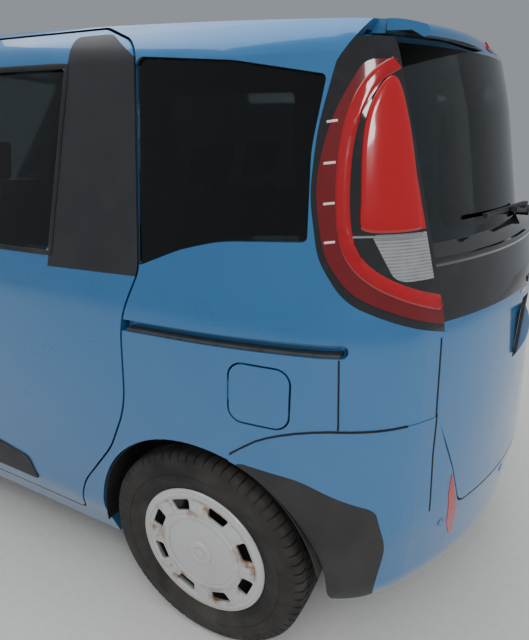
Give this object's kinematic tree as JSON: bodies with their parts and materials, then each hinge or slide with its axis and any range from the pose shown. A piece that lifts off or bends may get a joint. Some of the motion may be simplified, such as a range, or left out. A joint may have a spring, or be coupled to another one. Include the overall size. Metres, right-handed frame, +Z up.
{
  "type": "compact minivan",
  "caption": "Tall five-door minivan with hollow cabin, sliding side doors, opening front doors, tailgate, bonnet and fuel flap, steering and rolling wheels.",
  "frame": {"origin": "on the road, under the middle of the vehicle", "axes": "+X towards the front, +Y towards the vehicle's left, +Z up"},
  "size_m": [4.2563, 2.015, 1.6949],
  "materials": {
    "car_paint": "sky-blue metallic paint under clear lacquer",
    "tail_red": "red lamp plastic",
    "red_lens": "clear red lens",
    "clear_lens": "ribbed clear lens",
    "black_gloss": "piano-black trim",
    "black_matte": "grained dark plastic",
    "charcoal": "charcoal satin panel",
    "privacy_glass": "dark tinted glass",
    "clear_glass": "clear glass with a slight tint",
    "tyre_rubber": "worn rubber",
    "wheel_silver": "silver painted cover on a steel rim",
    "seat_fabric": "dark woven cloth",
    "cabin_plastic": "grained cabin plastic",
    "cast_alloy": "cast alloy, dull",
    "chassis_steel": "black chassis paint",
    "bare_steel": "dull steel",
    "plate_white": "white enamel, blank",
    "headlamp_glass": "clear lamp cover"
  },
  "bodies": {
    "body": {"side_frame_left": "car_paint", "side_frame_right": "car_paint", "roof_panel": "car_paint", "windscreen": "clear_glass", "front_wings": "car_paint", "front_bumper": "car_paint", "nose_panel": "black_gloss", "front_grille": "black_matte", "headlamps": "headlamp_glass", "cowl_panel": "black_matte", "rear_bumper": "car_paint", "corner_claddings": "black_matte", "tail_lamp_cases": "black_gloss", "tail_lamp_rings": "tail_red", "tail_lamp_lenses": "red_lens", "reversing_lenses": "clear_lens", "sliding_doors": "car_paint", "pillar_panels": "charcoal", "side_glass": "privacy_glass", "floor_pan": "chassis_steel", "wheel_houses": "black_matte", "front_seats": "seat_fabric", "second_row_seat": "seat_fabric", "third_row_seat": "seat_fabric", "dashboard": "cabin_plastic", "engine_block": "cast_alloy", "front_suspension": "chassis_steel", "strut_towers": "chassis_steel", "rear_axle": "chassis_steel", "exhaust_pipe": "bare_steel", "fuel_tank": "black_matte", "slide_rails": "bare_steel", "front_wipers": "black_matte"},
    "front_door_left": {"front_door_left": "car_paint", "front_door_glass_left": "clear_glass", "door_mirror_left": "car_paint", "front_door_strip_left": "black_matte"},
    "front_door_right": {"front_door_right": "car_paint", "front_door_glass_right": "clear_glass", "door_mirror_right": "car_paint", "front_door_strip_right": "black_matte"},
    "tailgate": {"tailgate_panel": "car_paint", "tailgate_glass": "privacy_glass", "tailgate_garnish": "black_gloss", "tailgate_spoiler": "car_paint", "number_plate": "plate_white", "tailgate_wiper": "black_matte"},
    "bonnet": {"bonnet": "car_paint"},
    "fuel_flap": {"fuel_flap": "car_paint"},
    "knuckle_left": {"knuckle_left": "chassis_steel"},
    "knuckle_right": {"knuckle_right": "chassis_steel"},
    "steering_wheel": {"steering_wheel": "cabin_plastic"},
    "wheel_front_left": {"tyre_front_left": "tyre_rubber", "wheel_front_left": "wheel_silver"},
    "wheel_front_right": {"tyre_front_right": "tyre_rubber", "wheel_front_right": "wheel_silver"},
    "wheel_rear_left": {"tyre_rear_left": "tyre_rubber", "wheel_rear_left": "wheel_silver"},
    "wheel_rear_right": {"tyre_rear_right": "tyre_rubber", "wheel_rear_right": "wheel_silver"}
  },
  "joints": [
    {"name": "front_door_left_hinge", "type": "hinge", "parent": "body", "child": "front_door_left", "pos_m": [0.88, 0.838, 0.66], "axis": [0, 0, -1], "range_deg": [0, 68]},
    {"name": "front_door_right_hinge", "type": "hinge", "parent": "body", "child": "front_door_right", "pos_m": [0.88, -0.838, 0.66], "axis": [0, 0, 1], "range_deg": [0, 68]},
    {"name": "tailgate_hinge", "type": "hinge", "parent": "body", "child": "tailgate", "pos_m": [-1.751, 0, 1.656], "axis": [0, 1, 0], "range_deg": [0, 82]},
    {"name": "bonnet_hinge", "type": "hinge", "parent": "body", "child": "bonnet", "pos_m": [1.262, 0, 1.054], "axis": [0, -1, 0], "range_deg": [0, 52]},
    {"name": "fuel_flap_hinge", "type": "hinge", "parent": "body", "child": "fuel_flap", "pos_m": [-1.51, 0.826, 0.843], "axis": [0, 0, -1], "range_deg": [0, 85]},
    {"name": "steer_left", "type": "hinge", "parent": "body", "child": "knuckle_left", "pos_m": [1.345, 0.628, 0.441], "axis": [0, -0.2072, 0.9783], "range_deg": [-35, 35]},
    {"name": "steer_right", "type": "hinge", "parent": "body", "child": "knuckle_right", "pos_m": [1.345, -0.628, 0.441], "axis": [0, 0.2072, 0.9783], "range_deg": [-35, 35]},
    {"name": "wheel_front_left_spin", "type": "hinge", "parent": "knuckle_left", "child": "wheel_front_left", "pos_m": [1.345, 0.74, 0.311], "axis": [0, 1, 0], "continuous": true},
    {"name": "wheel_rear_left_spin", "type": "hinge", "parent": "body", "child": "wheel_rear_left", "pos_m": [-1.405, 0.74, 0.311], "axis": [0, 1, 0], "continuous": true},
    {"name": "wheel_front_right_spin", "type": "hinge", "parent": "knuckle_right", "child": "wheel_front_right", "pos_m": [1.345, -0.74, 0.311], "axis": [0, 1, 0], "continuous": true},
    {"name": "wheel_rear_right_spin", "type": "hinge", "parent": "body", "child": "wheel_rear_right", "pos_m": [-1.405, -0.74, 0.311], "axis": [0, 1, 0], "continuous": true},
    {"name": "steering_wheel_turn", "type": "hinge", "parent": "body", "child": "steering_wheel", "pos_m": [0.56, 0.38, 1], "axis": [-0.8829, 0, 0.4695], "range_deg": [-525, 525]}
  ],
  "couplings": [
    {"joint": "steer_right", "follows": "steer_left", "ratio": 1}
  ]
}
